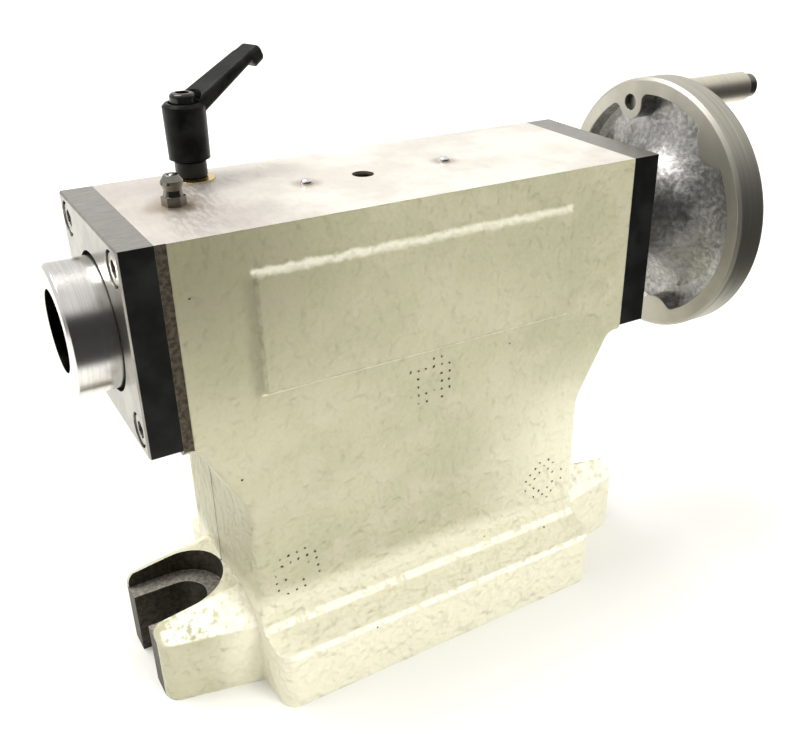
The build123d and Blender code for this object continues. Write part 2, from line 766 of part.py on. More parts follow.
def lever_arm():
    """Straight arm with a flat top, slightly tapered, and a knob under its tip."""
    a = math.radians(arm_rise_angle)
    along = Vector(math.cos(a), 0, math.sin(a))
    across = Vector(-math.sin(a), 0, math.cos(a))
    top = Vector(0, 0, head_top_z + hub_bottom_rise + hub_height + arm_top_rise)
    stations = [(0.0, arm_root_width, arm_root_depth, arm_edge_radius),
                (arm_stem_end, arm_stem_width, arm_stem_depth, arm_edge_radius),
                (arm_knob_start, arm_knob_width, arm_knob_depth, arm_knob_radius),
                (1.0, arm_knob_width, arm_end_depth, arm_knob_radius)]
    faces = []
    for share, width, depth, corner in stations:
        spot = top + along * (share * arm_length) - across * (depth / 2)
        plane = Plane(spot, x_dir=(0, 1, 0), z_dir=along)
        faces.append(plane * RectangleRounded(width, depth, corner))
    arm = loft(faces, ruled=True)
    arm = fillet(arm.faces().sort_by(Axis.X)[-1].edges(), arm_tip_radius)
    return Pos(lock_x, stud_y, 0) * Rot(0, 0, arm_swing_angle) * arm


def make_clamp_lever():
    """Black lever: tapered hub with toothed socket below and screw recess above."""
    low = head_top_z + hub_bottom_rise
    high = low + hub_height
    above = high + hub_height
    hub_low = hub_bottom_diameter / 2
    hub_high = hub_top_diameter / 2
    hub = Pos(lock_x, stud_y, low + hub_height / 2) * Cone(hub_low, hub_high, hub_height)
    hub = chamfer(hub.edges().sort_by(Axis.Z)[-1], hub_bevel)
    recess = hub_counterbore / 2
    body = hub + (lever_arm() - rod_z(recess + counterbore_wall, high, above, lock_x, stud_y))
    body -= rod_z(recess, spring_foot_z, above, lock_x, stud_y)
    body -= rod_z(lever_screw_diameter / 2 + running_play, low, high, lock_x, stud_y)
    socket_low = lever_web_z - coupling_depth
    body -= coupling_ring(socket_low, lever_web_z, coupling_play)
    entry = insert_spline_diameter / 2 + coupling_play
    return body - rod_z(entry, low - past, socket_low, lock_x, stud_y)


def make_lever_screw():
    top = lever_screw_seat_z + lever_screw_head_height
    foot = stud_top_z - lever_screw_bite
    head = rod_z(lever_screw_head / 2, lever_screw_seat_z, top, lock_x, stud_y)
    head = fillet(head.edges().sort_by(Axis.Z)[-1], lever_screw_round)
    screw = head + rod_z(lever_screw_diameter / 2, foot, lever_screw_seat_z, lock_x, stud_y)
    return screw - hex_prism_z(lever_screw_hex, top - lever_screw_socket, top + past, lock_x, stud_y)


def make_lever_spring():
    """Compression spring between the lever's web and the screw's head."""
    z0 = spring_foot_z + spring_wire / 2
    z1 = lever_screw_seat_z - spring_wire / 2
    radius = hub_counterbore / 2 - spring_gap - spring_wire / 2
    coil = Helix((z1 - z0) / spring_turns, z1 - z0, radius)
    section = Plane(coil @ 0, z_dir=coil % 0) * Circle(spring_wire / 2)
    return Pos(lock_x, stud_y, z0) * sweep(section, coil, is_frenet=True)


def make_grease_nipple():
    """Hexagon, neck and bulged head, with a passage that opens under the ball."""
    top = head_top_z
    thread = nipple_thread / 2
    foot = top - nipple_thread_length
    flare = nipple_flare / 2
    neck = nipple_neck / 2
    head = nipple_head / 2
    hex_top = top + nipple_hex_height
    bulge = hex_top + nipple_bulge_rise
    tip_z = top + nipple_height
    profile = [(0, foot), (thread, foot), (thread, top), (flare, top), (flare, hex_top),
               (neck, hex_top + nipple_neck_rise), (head, bulge), (head, bulge + nipple_bulge_height),
               (nipple_tip / 2, tip_z), (0, tip_z)]
    outline = make_face(Polyline(*[(r, 0, z) for r, z in profile], close=True))
    body = revolve(outline, Axis.Z, 360)
    body += Rot(0, 0, nipple_turn) * hex_prism_z(nipple_flats, top, hex_top)
    seat = tip_z - nipple_ball_seat
    body -= rod_z(nipple_ball / 2 + nipple_ball_play, seat, tip_z + past)
    body -= rod_z(nipple_passage / 2, foot - past, seat)
    return Pos(nipple_x, 0, 0) * body


def make_nipple_ball():
    z = head_top_z + nipple_height - nipple_ball_seat + nipple_ball_rise
    return Pos(nipple_x, 0, z) * Sphere(nipple_ball / 2)


def make_key_screw():
    """Set screw whose dog rides in the quill's keyway."""
    top = head_top_z - key_screw_sunk
    low = top - key_screw_length
    dog_tip = axis_height + quill_diameter / 2 - quill_keyway_depth + key_screw_gap
    screw = rod_z(key_screw_hole / 2, low, top, key_screw_x)
    screw += rod_z(key_screw_dog / 2, dog_tip, low, key_screw_x)
    return screw - hex_prism_z(key_screw_hex, top - key_screw_socket, top + past, key_screw_x)


def make_dowel_pins():
    pins = []
    for sign in (-1, 1):
        radius = dowel_diameter / 2
        pin = rod_z(radius, head_top_z - dowel_length, head_top_z + dowel_rise, sign * dowel_x)
        pins.append(fillet(pin.edges().sort_by(Axis.Z)[-1], dowel_dome))
    return Compound(children=pins)


def main():
    upper_plug, lower_plug = make_lock_plugs()
    nodes = {
        "body_casting": make_body_casting(),
        "nose_plate": make_nose_plate(),
        "nose_plate_screws": make_plate_screws(nose_face_x, 1),
        "quill_wiper": make_wiper(),
        "rear_plate": make_rear_plate(),
        "rear_plate_screws": make_plate_screws(rear_face_x, -1),
        "rear_bush": make_rear_bush(),
        "thrust_washers": make_thrust_washers(),
        "thrust_bearing": make_thrust_bearing(),
        "quill": make_quill(),
        "feed_nut": make_feed_nut(),
        "feed_nut_pin": make_nut_pin(),
        "feed_screw": make_feed_screw(),
        "handwheel": make_handwheel(),
        "handwheel_key": make_wheel_key(),
        "handwheel_washer": make_wheel_washer(),
        "handwheel_nut": make_wheel_nut(),
        "handle_spindle": make_handle_spindle(),
        "handle_grip": make_handle_grip(),
        "upper_lock_plug": upper_plug,
        "lower_lock_plug": lower_plug,
        "clamp_stud": make_clamp_stud(),
        "clamp_lever": make_clamp_lever(),
        "lever_screw": make_lever_screw(),
        "lever_spring": make_lever_spring(),
        "grease_nipple": make_grease_nipple(),
        "nipple_ball": make_nipple_ball(),
        "quill_key_screw": make_key_screw(),
        "dowel_pins": make_dowel_pins(),
    }
    os.makedirs("parts", exist_ok=True)
    for name, shape in nodes.items():
        export_step(shape, f"parts/{name}.step")


if __name__ == "__main__":
    main()
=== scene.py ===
import math

import bpy
from mathutils import Matrix, Vector


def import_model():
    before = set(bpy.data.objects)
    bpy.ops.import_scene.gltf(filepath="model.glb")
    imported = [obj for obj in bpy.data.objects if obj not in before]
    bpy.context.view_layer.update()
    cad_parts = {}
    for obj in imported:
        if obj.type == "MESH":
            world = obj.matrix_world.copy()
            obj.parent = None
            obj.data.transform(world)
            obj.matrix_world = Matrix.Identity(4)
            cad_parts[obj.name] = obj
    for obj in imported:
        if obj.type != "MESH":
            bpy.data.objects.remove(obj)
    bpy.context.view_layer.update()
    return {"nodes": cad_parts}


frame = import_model()
nodes = frame["nodes"]

# Camera of the photograph
LENS_PX = 949.7
IMAGE_WIDTH = 800
CAMERA_AZIMUTH = math.radians(-32.67)
CAMERA_ELEVATION = math.radians(27.78)
CAMERA_ROLL = math.radians(0.40)
CAMERA_PLACE = (-0.1373, -0.2578, 0.2386)
CENTRE_SHIFT_PX = 52.2

# Light given off by the floor, for the bright table of the photograph
FLOOR_GLOW = 0.08

# Places and sizes on the object that the materials need, in metres
AXIS_Z = 0.127
TOP_Z = 0.157
FRONT_Y = -0.0303
HEAD_END = 0.0794
HEAD_LOW = 0.090
HEAD_HALF_WIDTH = 0.030
BARE_BAND = 0.0031
WEB_END = 0.062
SLOT_X = 0.0792
SLOT_SEAT_Z = 0.023
SLOT_SEAT_RADIUS = 0.0145
SLOT_TOP = 0.040
QUILL_BORE = 0.0195
LOCK_X, LOCK_Y = -0.051, 0.0218
LOCK_BORE = 0.0062
NIPPLE_X = -0.0644
KEY_X = -0.0052
KEY_BORE = 0.0036
DOWEL_X = 0.0243
NOSE_FACE_X = 0.0889
REAR_FACE_X = 0.0905
SOCKET_RADIUS = 0.0119
QUILL_NOSE_X = -0.1016
RIM_INNER_RADIUS = 0.0412
RIM_FACE_X = 0.1153
PANEL_HALF = 0.05475
PANEL_LOW, PANEL_HIGH = 0.1074, 0.1450

# Rings of pinholes on the front: X, Z and turn of each
DOT_PITCH = 0.0029
DOT_RINGS = ((0.0003, 0.0971, 0.0), (0.0487, 0.0418, 0.785), (-0.0497, 0.0422, 0.12))

# Order of the casting's materials
PAINT, FRONT_PAINT, GROUND_TOP, BARE, SLOT_SEAT, SHADED_WALL, TAPPED, UNDERSIDE = range(8)


class Shade:
    """One material, with short calls for the nodes that it is made of."""

    def __init__(self, name, roughness=0.5, metallic=0.0, specular=0.5):
        self.mat = bpy.data.materials.new(name)
        self.mat.use_nodes = True
        self.tree = self.mat.node_tree
        self.tree.nodes.clear()
        out = self.tree.nodes.new("ShaderNodeOutputMaterial")
        self.bsdf = self.tree.nodes.new("ShaderNodeBsdfPrincipled")
        self.tree.links.new(self.bsdf.outputs[0], out.inputs[0])
        self.bsdf.inputs["Roughness"].default_value = roughness
        self.bsdf.inputs["Metallic"].default_value = metallic
        self.bsdf.inputs["Specular IOR Level"].default_value = specular
        self.pos = self.tree.nodes.new("ShaderNodeTexCoord").outputs["Object"]
        parts = self.node("ShaderNodeSeparateXYZ", {0: self.pos})
        self.x, self.y, self.z = parts.outputs

    def node(self, kind, inputs=None, **settings):
        n = self.tree.nodes.new(kind)
        for key, value in settings.items():
            setattr(n, key, value)
        for key, value in (inputs or {}).items():
            self.feed(n.inputs[key], value)
        return n

    def feed(self, socket, value):
        if isinstance(value, bpy.types.NodeSocket):
            self.tree.links.new(value, socket)
        elif isinstance(value, tuple) and len(value) == 3 and socket.type == "RGBA":
            socket.default_value = (*value, 1.0)
        else:
            socket.default_value = value

    def set(self, name, value):
        self.feed(self.bsdf.inputs[name], value)

    def math(self, op, a, b=0.0, c=0.0, clamp=False):
        return self.node("ShaderNodeMath", {0: a, 1: b, 2: c}, operation=op, use_clamp=clamp).outputs[0]

    def vec(self, op, a, b=(0.0, 0.0, 0.0)):
        n = self.node("ShaderNodeVectorMath", {0: a, 1: b}, operation=op)
        return n.outputs["Value"] if op in ("LENGTH", "DISTANCE") else n.outputs["Vector"]

    def scaled(self, x, y, z):
        return self.vec("MULTIPLY", self.pos, (x, y, z))

    def step(self, value, low, high):
        """0 below low, 1 above high, smooth between them; low may be the greater."""
        if low > high:
            return self.math("SUBTRACT", 1.0, self.step(value, high, low))
        return self.node("ShaderNodeMapRange", {0: value, 1: low, 2: high},
                         interpolation_type="SMOOTHSTEP").outputs[0]

    def noise(self, scale, detail=2.0, rough=0.5, vector=None, distort=0.0):
        n = self.node("ShaderNodeTexNoise", {"Vector": vector or self.pos, "Scale": scale, "Detail": detail,
                                             "Roughness": rough, "Distortion": distort})
        return n.outputs[0]

    def cells(self, scale, vector=None):
        """Distance to the nearest scattered point, and that point's own random colour."""
        n = self.node("ShaderNodeTexVoronoi", {"Vector": vector or self.pos, "Scale": scale})
        return n.outputs["Distance"], n.outputs["Color"]

    def specks(self, scale, radius, share, vector=None):
        """Scattered dots: a share of the cells hold one, with a radius as part of a cell."""
        distance, colour = self.cells(scale, vector)
        red = self.node("ShaderNodeSeparateColor", {0: colour}).outputs[0]
        size = self.math("MULTIPLY", self.step(red, share, share * 0.4), radius)
        dot = self.math("SUBTRACT", size, distance)
        return self.step(dot, 0.0, radius * 0.35)

    def mix(self, factor, a, b):
        n = self.node("ShaderNodeMix", data_type="RGBA")
        self.feed(n.inputs[0], factor)
        self.feed(n.inputs[6], a)
        self.feed(n.inputs[7], b)
        return n.outputs[2]

    def blend(self, factor, a, b):
        n = self.node("ShaderNodeMix", data_type="FLOAT")
        for socket, value in zip((n.inputs[0], n.inputs[2], n.inputs[3]), (factor, a, b)):
            self.feed(socket, value)
        return n.outputs[0]

    def both(self, *masks):
        result = masks[0]
        for mask in masks[1:]:
            result = self.math("MULTIPLY", result, mask)
        return result

    def either(self, *masks):
        result = masks[0]
        for mask in masks[1:]:
            result = self.math("MAXIMUM", result, mask)
        return result

    def reach(self, x=None, y=None, z=None):
        """Distance from a point, or from a line where a coordinate is left out."""
        scale = tuple(0.0 if v is None else 1.0 for v in (x, y, z))
        flat = self.vec("MULTIPLY", self.pos, scale)
        return self.vec("DISTANCE", flat, tuple(v or 0.0 for v in (x, y, z)))

    def rounded(self, radius):
        """Surface direction with the edges softened."""
        return self.node("ShaderNodeBevel", {0: radius}, samples=6).outputs[0]

    def edges(self, radius):
        """1 along the edges, 0 on the flat faces."""
        true = self.node("ShaderNodeNewGeometry").outputs["True Normal"]
        apart = self.vec("DISTANCE", self.rounded(radius), true)
        return self.step(apart, 0.10, 0.45)

    def upward_slope(self):
        """1 where the surface leans back between a front wall and a top, as on fillets."""
        lean = self.node("ShaderNodeSeparateXYZ",
                         {0: self.node("ShaderNodeNewGeometry").outputs["Normal"]}).outputs
        return self.step(self.math("MULTIPLY", lean[2], self.math("MULTIPLY", lean[1], -1.0)), 0.20, 0.40)

    def bump(self, *layers, edge=0.0):
        """Height layers as (height socket, depth in metres), over softened edges."""
        normal = self.rounded(edge) if edge else None
        for height, depth in layers:
            inputs = {"Height": height, "Strength": 1.0, "Distance": depth}
            if normal:
                inputs["Normal"] = normal
            normal = self.node("ShaderNodeBump", inputs).outputs[0]
        self.set("Normal", normal)


def dot_ring(s, x, z, turn):
    """A ring of small pinholes on the front face, set on a square grid."""
    place = s.vec("SUBTRACT", s.pos, (x, FRONT_Y, z))
    turned = s.node("ShaderNodeVectorRotate", {"Vector": place, "Axis": (0, 1, 0), "Angle": turn}).outputs[0]
    wobble = s.node("ShaderNodeTexNoise", {"Vector": s.pos, "Scale": 300.0}).outputs["Color"]
    shift = s.vec("MULTIPLY", s.vec("SUBTRACT", wobble, (0.5, 0.5, 0.5)), (0.5, 0.5, 0.5))
    grid = s.vec("ADD", s.vec("MULTIPLY", turned, (1 / DOT_PITCH, 0.0, 1 / DOT_PITCH)), shift)
    grid = s.vec("MULTIPLY", grid, (1.0, 0.0, 1.0))
    cell = s.vec("SUBTRACT", s.vec("FRACTION", grid), (0.5, 0.0, 0.5))
    radius = s.vec("LENGTH", grid)
    dot = s.step(s.vec("LENGTH", cell), 0.17, 0.10)
    ring = s.both(s.step(radius, 1.15, 1.25), s.step(radius, 3.1, 2.9))
    weak = s.step(s.noise(420.0, 0.0), 0.36, 0.50)
    return s.both(dot, ring, weak)


def panel_bands(s, ragged):
    """Painted highlight along the panel's upper slope and lower edge, and a broad band of painted shade
    before its left end.
    """
    sway = s.math("MULTIPLY", s.math("SUBTRACT", ragged, 0.5), 0.0022)
    high = s.math("ADD", s.z, sway)
    left = s.math("ADD", s.x, sway)
    along = s.both(s.step(left, -PANEL_HALF - 0.001, -PANEL_HALF),
                   s.step(s.x, PANEL_HALF, PANEL_HALF - 0.001))
    upper = s.both(along, s.step(high, PANEL_HIGH - 0.0022, PANEL_HIGH - 0.0002),
                   s.step(high, PANEL_HIGH + 0.0013, PANEL_HIGH - 0.0002))
    lower = s.both(along, s.step(s.z, PANEL_LOW - 0.0004, PANEL_LOW),
                   s.step(high, PANEL_LOW + 0.0009, PANEL_LOW + 0.0003))
    beside = s.both(s.step(left, -PANEL_HALF - 0.0048, -PANEL_HALF - 0.0008),
                    s.step(s.x, -PANEL_HALF + 0.0006, -PANEL_HALF - 0.0002),
                    s.step(s.z, PANEL_LOW - 0.001, PANEL_LOW + 0.002),
                    s.step(s.z, PANEL_HIGH, PANEL_HIGH - 0.003))
    return s.either(s.math("MULTIPLY", upper, 0.62), s.math("MULTIPLY", lower, 0.45)), beside


def paint(name, front):
    """Lumpy cream enamel on cast iron; the front also has its rings of pinholes."""
    s = Shade(name)
    broad = s.noise(28.0, 3.0, 0.55)
    tone = s.mix(s.step(broad, 0.35, 0.68), (0.405, 0.398, 0.262), (0.470, 0.450, 0.305))
    patch = s.noise(75.0, 4.0, 0.6)
    tone = s.mix(s.step(patch, 0.46, 0.72), tone, (0.480, 0.447, 0.322))
    grime = s.both(s.step(s.noise(210.0, 5.0, 0.65), 0.50, 0.78), s.step(broad, 0.60, 0.40))
    tone = s.mix(s.math("MULTIPLY", grime, 0.45), tone, (0.36, 0.33, 0.22))
    rust = s.step(s.noise(300.0, 4.0, 0.7, s.vec("ADD", s.pos, (0.2, 0.5, 0.1))), 0.68, 0.76)
    tone = s.mix(s.math("MULTIPLY", rust, 0.40), tone, (0.24, 0.16, 0.09))
    # Darker high on the head, most towards its left end
    high_left_darkening = s.both(s.math("ADD", s.step(s.x, 0.000, -0.075), 0.35), s.step(s.z, 0.085, 0.150))
    tone = s.mix(s.math("MULTIPLY", high_left_darkening, 0.72), tone, (0.20, 0.19, 0.115))
    # Painted light: low parts and the lower right of the web are painted a lighter cream, standing in for
    # light from the bright floor
    painted_low_light = s.either(s.step(s.z, 0.040, 0.030), s.both(s.step(s.x, 0.005, 0.060), s.step(s.z, 0.100, 0.055)))
    painted_low_light = s.both(painted_low_light, s.step(s.x, -0.082, -0.066))
    tone = s.mix(s.math("MULTIPLY", painted_low_light, 0.75), tone, (0.800, 0.770, 0.600))
    ragged = s.noise(340.0, 3.0, 0.6)
    # Painted highlight: ragged pale lines along the lower edges and on upward-leaning fillets low down
    edge_highlight = s.both(s.edges(0.0007), s.step(ragged, 0.36, 0.56), s.step(s.z, 0.100, 0.090))
    slope = s.both(s.upward_slope(), s.step(s.z, 0.060, 0.040))
    edge_highlight = s.either(edge_highlight, s.both(slope, s.step(ragged, 0.34, 0.54)))
    if front:
        panel_highlight, panel_shade = panel_bands(s, ragged)
        edge_highlight = s.either(edge_highlight, panel_highlight)
        # Painted shade: a broad dark band before the panel's left end
        tone = s.mix(s.math("MULTIPLY", panel_shade, 0.55), tone, (0.175, 0.170, 0.105))
    # The painted highlights on edges, fillets and the panel are mixed in as pale cream
    tone = s.mix(s.math("MULTIPLY", edge_highlight, 0.90), tone, (0.920, 0.900, 0.760))
    dots = s.specks(115.0, 0.052, 0.30, s.vec("ADD", s.pos, (0.3, 0.1, 0.2)))
    if front:
        dots = s.either(dots, *(dot_ring(s, *ring) for ring in DOT_RINGS))
    else:
        sway = s.math("MULTIPLY", s.math("SUBTRACT", s.noise(130.0), 0.5), 0.0016)
        seam_y = s.math("ABSOLUTE", s.math("ADD", s.y, sway))
        seam = s.both(s.step(seam_y, 0.00050, 0.00018), s.step(s.z, 0.030, 0.033),
                      s.step(s.z, 0.094, HEAD_LOW), s.step(s.math("ABSOLUTE", s.x), 0.060, WEB_END))
        dots = s.either(dots, s.math("MULTIPLY", seam, 0.8))
    tone = s.mix(dots, tone, (0.030, 0.022, 0.014))
    s.set("Base Color", tone)
    s.set("Roughness", s.blend(s.step(patch, 0.3, 0.7), 0.36, 0.50))
    distance, colour = s.cells(95.0, s.vec("ADD", s.pos, (0.0, 0.7, 0.3)))
    pick = s.node("ShaderNodeSeparateColor", {0: colour}).outputs[1]
    craters = s.both(s.step(distance, 0.30, 0.08), s.step(pick, 0.30, 0.12))
    s.bump((s.noise(150.0, 2.0, 0.45), 0.0026), (s.noise(380.0, 1.0, 0.4), 0.0010), (craters, -0.0006),
           (dots, -0.0005), edge=0.0007)
    return s.mat


def ground_top():
    """Ground top of the head, stained round the nipple and the pins."""
    s = Shade("ground_top_iron", metallic=0.92)
    grain = s.noise(900.0, 3.0, 0.6, s.scaled(1.0, 0.25, 1.0))
    cloud = s.noise(36.0, 3.0, 0.6, s.vec("ADD", s.pos, (0.05, 0.4, 0.0)))
    steel = s.mix(s.step(cloud, 0.38, 0.66), (0.76, 0.725, 0.67), (0.92, 0.885, 0.82))
    steel = s.mix(s.math("MULTIPLY", s.step(grain, 0.45, 0.75), 0.25), steel, (0.50, 0.46, 0.40))
    steel = s.mix(s.math("MULTIPLY", s.step(s.x, -0.010, -0.065), 0.45), steel, (0.36, 0.32, 0.29))
    halo = s.math("ADD", s.reach(x=NIPPLE_X, y=0), s.math("MULTIPLY", s.noise(120.0, 3.0), 0.010))
    halo = s.step(halo, 0.0165, 0.0075)
    pins = s.math("MINIMUM", s.reach(x=-DOWEL_X, y=0), s.reach(x=DOWEL_X, y=0))
    stains = s.either(halo, s.math("MULTIPLY", s.step(pins, 0.006, 0.0018), 0.8))
    s.set("Base Color", s.mix(s.math("MULTIPLY", stains, 0.60), steel, (0.25, 0.16, 0.09)))
    s.set("Roughness", s.blend(s.step(grain, 0.4, 0.7), 0.46, 0.60))
    s.bump((grain, 0.000015), edge=0.0004)
    return s.mat


def bare_iron(name, low, high, rough):
    """Machined and rusty cast iron: mottled between two tones."""
    s = Shade(name, metallic=0.8)
    mottle = s.noise(700.0, 4.0, 0.6)
    s.set("Base Color", s.mix(s.step(mottle, 0.35, 0.65), low, high))
    s.set("Roughness", s.blend(s.noise(320.0, 4.0, 0.6), rough * 0.8, rough * 1.2))
    s.bump((mottle, 0.00005), edge=0.0003)
    return s.mat


def tapped_iron():
    """Walls of the key screw's hole, with its thread; their dark tone is painted shade in the hole."""
    s = Shade("tapped_iron", metallic=0.7, roughness=0.4)
    s.set("Base Color", s.mix(s.noise(500.0, 3.0), (0.05, 0.04, 0.03), (0.14, 0.12, 0.09)))
    thread = s.node("ShaderNodeTexWave", {"Vector": s.scaled(0.0, 0.0, 1.0), "Scale": 128.0},
                    bands_direction="Z").outputs[1]
    s.bump((thread, 0.0005))
    return s.mat


def casting_slot(centre, normal):
    """Which of the casting's materials a polygon takes."""
    x, y, z = centre
    across = math.hypot(y, z - AXIS_Z)
    upright = abs(normal.z) < 0.01
    upward = normal.z > 0.99
    slot_end = math.hypot(min(abs(x) - SLOT_X, 0.0), y)
    if upward and z > TOP_Z - 0.0002:
        return GROUND_TOP
    if abs(x) > HEAD_END - 0.0002 and z > HEAD_LOW:
        return BARE
    if x < BARE_BAND - HEAD_END and abs(abs(y) - HEAD_HALF_WIDTH) < 0.0001:
        return BARE
    if upward and abs(z - SLOT_SEAT_Z) < 0.0002:
        return SLOT_SEAT
    if slot_end < SLOT_SEAT_RADIUS and upright and z < SLOT_TOP:
        return SHADED_WALL
    if math.hypot(x - KEY_X, y) < KEY_BORE and z > 0.14:
        return TAPPED
    if across < QUILL_BORE or (math.hypot(x - LOCK_X, y - LOCK_Y) < LOCK_BORE and z > HEAD_LOW):
        return SHADED_WALL
    if z > 0.12 and upright and abs(y) < 0.0032 and abs(x) < 0.07:
        return SHADED_WALL
    if normal.z < -0.99 and z < 0.005:
        return UNDERSIDE
    return FRONT_PAINT if normal.y < -0.5 and y < -0.027 else PAINT


def dress_casting():
    """Enamel, and bare metal where the casting is machined."""
    mesh = nodes["body_casting"].data
    mesh.materials.clear()
    materials = {
        PAINT: paint("cream_paint", False),
        FRONT_PAINT: paint("cream_paint_front", True),
        GROUND_TOP: ground_top(),
        BARE: bare_iron("bare_band_iron", (0.10, 0.080, 0.055), (0.22, 0.185, 0.14), 0.42),
        SLOT_SEAT: bare_iron("slot_seat_iron", (0.17, 0.155, 0.13), (0.33, 0.31, 0.27), 0.45),
        # Walls of slots and bores: machined iron painted near black as shade in the recesses
        SHADED_WALL: bare_iron("shaded_recess_iron", (0.030, 0.025, 0.018), (0.065, 0.055, 0.040), 0.55),
        TAPPED: tapped_iron(),
        UNDERSIDE: bare_iron("machined_base_iron", (0.30, 0.28, 0.25), (0.45, 0.43, 0.39), 0.40),
    }
    for slot in sorted(materials):
        mesh.materials.append(materials[slot])
    for face in mesh.polygons:
        face.material_index = casting_slot(face.center, face.normal)


def ground_plate(name, face_x, outward):
    """Black oxide plate whose outer face, top and edges are ground bright; outward is 1 or -1."""
    s = Shade(name)
    facing = s.math("MULTIPLY", s.x, float(outward))
    face = s.step(facing, face_x - 0.00012, face_x - 0.00004)
    bevel = s.step(facing, face_x - 0.00058, face_x - 0.00050)
    top = s.step(s.z, TOP_Z - 0.00010, TOP_Z - 0.00004)
    bright = s.either(face, top, bevel)
    wear = s.noise(90.0, 4.0, 0.6)
    oxide = s.mix(s.step(wear, 0.35, 0.70), (0.004, 0.004, 0.004), (0.011, 0.012, 0.011))
    lines = s.noise(1.0, 3.0, 0.6, s.scaled(3500.0, 120.0, 3500.0))
    across = s.noise(1.0, 3.0, 0.6, s.scaled(200.0, 2600.0, 160.0))
    ground = s.mix(s.step(wear, 0.35, 0.70), (0.24, 0.228, 0.20), (0.36, 0.343, 0.305))
    top_tone = s.mix(s.step(across, 0.35, 0.70), (0.28, 0.27, 0.25), (0.42, 0.405, 0.375))
    ground = s.mix(s.both(top, s.step(bevel, 0.9, 0.1)), ground, top_tone)
    spots = s.specks(170.0, 0.10, 0.25)
    ground = s.mix(s.math("MULTIPLY", spots, 0.7), ground, (0.16, 0.12, 0.09))
    s.set("Base Color", s.mix(bright, oxide, ground))
    s.set("Metallic", bright)
    s.set("Specular IOR Level", 0.3)
    s.set("Roughness", s.blend(bright, s.blend(wear, 0.38, 0.55), s.blend(across, 0.22, 0.40)))
    s.bump((s.both(lines, bright), 0.00002), (s.noise(1500.0, 2.0), 0.00002), edge=0.0002)
    return s.mat


def ground_steel(name, colour, rough, ring_scale=2500.0):
    """Round-ground steel: fine rings round X and a few stains."""
    s = Shade(name, metallic=1.0)
    rings = s.noise(1.0, 4.0, 0.7, s.scaled(ring_scale, 25.0, 25.0))
    cloud = s.noise(60.0, 4.0, 0.6)
    darker = tuple(c * 0.62 for c in colour)
    tone = s.mix(s.step(rings, 0.30, 0.75), colour, tuple(c * 0.86 for c in colour))
    tone = s.mix(s.math("MULTIPLY", s.step(cloud, 0.52, 0.80), 0.5), tone, darker)
    tone = s.mix(s.math("MULTIPLY", s.specks(210.0, 0.12, 0.12), 0.5), tone, (0.18, 0.13, 0.10))
    s.set("Base Color", tone)
    s.set("Roughness", s.blend(rings, rough * 0.8, rough * 1.35))
    s.bump((rings, 0.000008), edge=0.00025)
    return s.mat


def quill_steel():
    """Quill: ground outside, a socket painted near black as shade, and a bright nose ring."""
    s = Shade("quill_ground_steel", metallic=1.0)
    rings = s.noise(1.0, 4.0, 0.7, s.scaled(2600.0, 30.0, 30.0))
    cloud = s.noise(75.0, 4.0, 0.6)
    radius = s.reach(y=0, z=AXIS_Z)
    socket_shade = s.both(s.step(radius, SOCKET_RADIUS + 0.00015, SOCKET_RADIUS),
                    s.step(s.x, QUILL_NOSE_X + 0.00002, QUILL_NOSE_X + 0.00015))
    tone = s.mix(s.step(rings, 0.30, 0.75), (0.74, 0.72, 0.70), (0.60, 0.585, 0.57))
    tone = s.mix(s.math("MULTIPLY", s.step(cloud, 0.50, 0.78), 0.5), tone, (0.46, 0.42, 0.38))
    tone = s.mix(s.math("MULTIPLY", s.specks(190.0, 0.10, 0.14), 0.6), tone, (0.20, 0.14, 0.11))
    # Painted shade: the inside of the socket is painted near black
    tone = s.mix(socket_shade, tone, (0.014, 0.014, 0.010))
    s.set("Base Color", tone)
    s.set("Roughness", s.blend(rings, 0.15, 0.30))
    s.bump((rings, 0.00001), edge=0.0003)
    return s.mat


def plain_metal(name, colour, rough, metallic=1.0, mottle=0.35, grain=0.00002):
    """Small metal parts: mottled colour, uneven gloss and fine grain."""
    s = Shade(name, metallic=metallic)
    cloud = s.noise(400.0, 4.0, 0.6)
    fine = s.noise(2200.0, 3.0, 0.6)
    tone = s.mix(s.math("MULTIPLY", s.step(cloud, 0.40, 0.72), mottle * 2.0), colour,
                 tuple(c * (1.0 - mottle) for c in colour))
    s.set("Base Color", tone)
    s.set("Roughness", s.blend(fine, rough * 0.75, rough * 1.3))
    s.bump((fine, grain), edge=0.0002)
    return s.mat


def black_lever():
    """Satin black coating with a fine texture and softened edges."""
    s = Shade("lever_black_coating", specular=0.10)
    fine = s.noise(1700.0, 3.0, 0.6)
    cloud = s.noise(150.0, 3.0, 0.6)
    tone = s.mix(s.step(cloud, 0.35, 0.70), (0.003, 0.003, 0.003), (0.012, 0.012, 0.011))
    s.set("Base Color", tone)
    s.set("Roughness", s.blend(fine, 0.28, 0.42))
    s.bump((fine, 0.00006), (cloud, 0.00012), edge=0.0005)
    return s.mat


